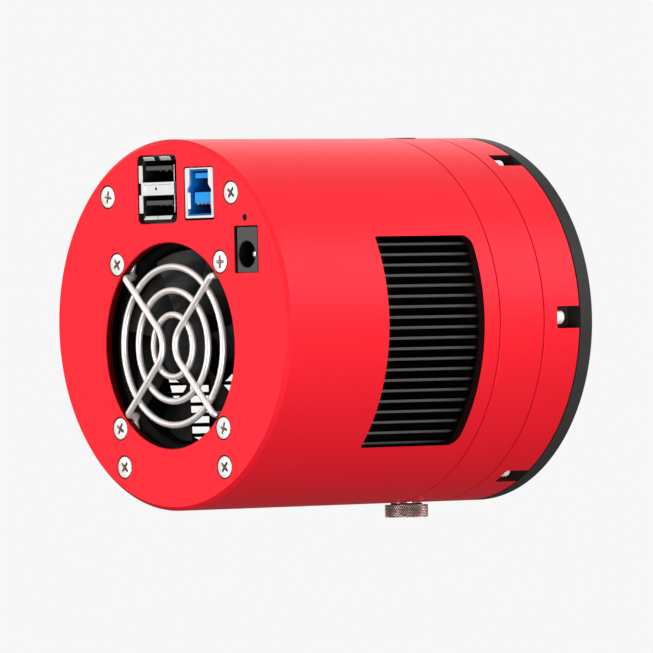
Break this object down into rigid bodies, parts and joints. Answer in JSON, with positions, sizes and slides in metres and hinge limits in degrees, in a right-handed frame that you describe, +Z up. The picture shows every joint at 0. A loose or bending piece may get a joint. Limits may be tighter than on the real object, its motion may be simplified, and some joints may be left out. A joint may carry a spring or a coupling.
{
  "type": "cooled astronomy camera",
  "caption": "Round cooled astronomy camera with a rear fan and guard, flank air windows, rear sockets, a desiccant cap and a tilting front plate.",
  "frame": {"origin": "centre of the tilt plate's front face, where the telescope's adapter screws in", "axes": "+Y out of the front face towards the telescope, along the optical axis; +Z up, towards the sockets; +X right as seen from behind"},
  "size_m": [0.09, 0.0972, 0.0936],
  "materials": {
    "red_anodised": "satin bead-blasted red anodising",
    "black_anodised": "satin black anodising",
    "steel": "bright nickel-plated steel",
    "thumb_steel": "satin knurled steel",
    "socket_metal": "plated sheet steel",
    "black_plastic": "matt moulded",
    "fan_plastic": "smooth moulded",
    "jack_plastic": "matt moulded",
    "blue_plastic": "moulded",
    "light_pipe": "clear tinted",
    "board": "solder mask",
    "copper": "enamelled winding",
    "brass": "machined",
    "ceramic": "white ceramic",
    "cold_aluminium": "machined",
    "silicon": "polished",
    "glass": "anti-reflection coated",
    "rubber": "moulded",
    "heater_film": "polyimide film",
    "desiccant": "porous"
  },
  "bodies": {
    "camera_body": {"chamber_seal": "rubber", "cold_block": "cold_aluminium", "dc_jack_body": "jack_plastic", "dc_jack_pin": "brass", "fan_bearing": "brass", "fan_frame": "fan_plastic", "fan_guard": "steel", "fan_screw_1": "steel", "fan_screw_2": "steel", "fan_screw_3": "steel", "fan_screw_4": "steel", "fan_stator": "copper", "front_ring": "red_anodised", "front_ring_screw_1": "steel", "front_ring_screw_2": "steel", "front_ring_screw_3": "steel", "front_ring_screw_4": "steel", "front_ring_screw_5": "steel", "front_ring_screw_6": "steel", "guide_sensor": "silicon", "guide_window": "glass", "heat_sink": "black_anodised", "interface_board": "board", "main_sensor": "silicon", "middle_ring": "red_anodised", "peltier_cooler": "ceramic", "protect_window": "glass", "rear_cover_screw_1": "steel", "rear_cover_screw_2": "steel", "rear_cover_screw_3": "steel", "rear_cover_screw_4": "steel", "rear_shell": "red_anodised", "sensor_board": "board", "sensor_cover_glass": "glass", "standoff_1": "brass", "standoff_2": "brass", "standoff_3": "brass", "standoff_4": "brass", "status_light_pipe": "light_pipe", "top_port_plug": "black_anodised", "usb_a_insert": "black_plastic", "usb_a_shell": "socket_metal", "usb_b_insert": "blue_plastic", "usb_b_shell": "socket_metal", "window_carrier": "black_anodised", "window_heater": "heater_film", "window_retaining_ring": "black_anodised", "window_seal": "rubber"},
    "fan_rotor": {"fan_rotor": "fan_plastic"},
    "tilt_plate": {"tilt_plate": "black_anodised"},
    "cap_seal_carrier": {"cap_seal": "rubber"},
    "desiccant_cap": {"desiccant_cap": "thumb_steel", "desiccant_tablet_1": "desiccant", "desiccant_tablet_2": "desiccant"},
    "tilt_pull_screw_1": {"tilt_pull_screw_1": "steel"},
    "tilt_push_screw_1": {"tilt_push_screw_1": "steel"},
    "tilt_pull_screw_2": {"tilt_pull_screw_2": "steel"},
    "tilt_push_screw_2": {"tilt_push_screw_2": "steel"},
    "tilt_pull_screw_3": {"tilt_pull_screw_3": "steel"},
    "tilt_push_screw_3": {"tilt_push_screw_3": "steel"}
  },
  "joints": [
    {"name": "fan_spin", "type": "hinge", "parent": "camera_body", "child": "fan_rotor", "pos_m": [-0.0008, -0.0913, -0.005], "axis": [0, 1, 0], "continuous": true},
    {"name": "cap_slide", "type": "slide", "parent": "camera_body", "child": "cap_seal_carrier", "axis": [0, 0, -1], "range_m": [0, 0.004]},
    {"name": "cap_turn", "type": "hinge", "parent": "cap_seal_carrier", "child": "desiccant_cap", "pos_m": [0, -0.0231, -0.045], "axis": [0, 0, -1], "range_deg": [0, 1441]},
    {"name": "tilt", "type": "hinge", "parent": "camera_body", "child": "tilt_plate", "pos_m": [0, -0.00395, 0], "axis": [1, 0, 0], "range_deg": [-0.3, 0.3]},
    {"name": "pull_screw_turn_1", "type": "hinge", "parent": "camera_body", "child": "tilt_pull_screw_1", "pos_m": [0, -0.00245, 0.036], "axis": [0, 1, 0], "range_deg": [-136.22, 136.22]},
    {"name": "push_screw_turn_1", "type": "hinge", "parent": "tilt_plate", "child": "tilt_push_screw_1", "pos_m": [-0.00992, -0.00395, 0.0346], "axis": [0, 1, 0], "range_deg": [-130.96, 130.96]},
    {"name": "pull_screw_turn_2", "type": "hinge", "parent": "camera_body", "child": "tilt_pull_screw_2", "pos_m": [-0.03118, -0.00245, -0.018], "axis": [0, 1, 0], "range_deg": [-68.36, 68.36]},
    {"name": "push_screw_turn_2", "type": "hinge", "parent": "tilt_plate", "child": "tilt_push_screw_2", "pos_m": [-0.02501, -0.00395, -0.0259], "axis": [0, 1, 0], "range_deg": [-98.13, 98.13]},
    {"name": "pull_screw_turn_3", "type": "hinge", "parent": "camera_body", "child": "tilt_pull_screw_3", "pos_m": [0.03118, -0.00245, -0.018], "axis": [0, 1, 0], "range_deg": [-68.36, 68.36]},
    {"name": "push_screw_turn_3", "type": "hinge", "parent": "tilt_plate", "child": "tilt_push_screw_3", "pos_m": [0.03493, -0.00395, -0.00871], "axis": [0, 1, 0], "range_deg": [-33.33, 33.33]}
  ],
  "couplings": [
    {"joint": "cap_turn", "follows": "cap_slide", "rad_per_m": 6283.2},
    {"joint": "pull_screw_turn_1", "follows": "tilt", "ratio": -452.39},
    {"joint": "push_screw_turn_1", "follows": "tilt", "ratio": 434.87},
    {"joint": "pull_screw_turn_2", "follows": "tilt", "ratio": 226.19},
    {"joint": "push_screw_turn_2", "follows": "tilt", "ratio": -325.42},
    {"joint": "pull_screw_turn_3", "follows": "tilt", "ratio": 226.19},
    {"joint": "push_screw_turn_3", "follows": "tilt", "ratio": -109.44}
  ]
}
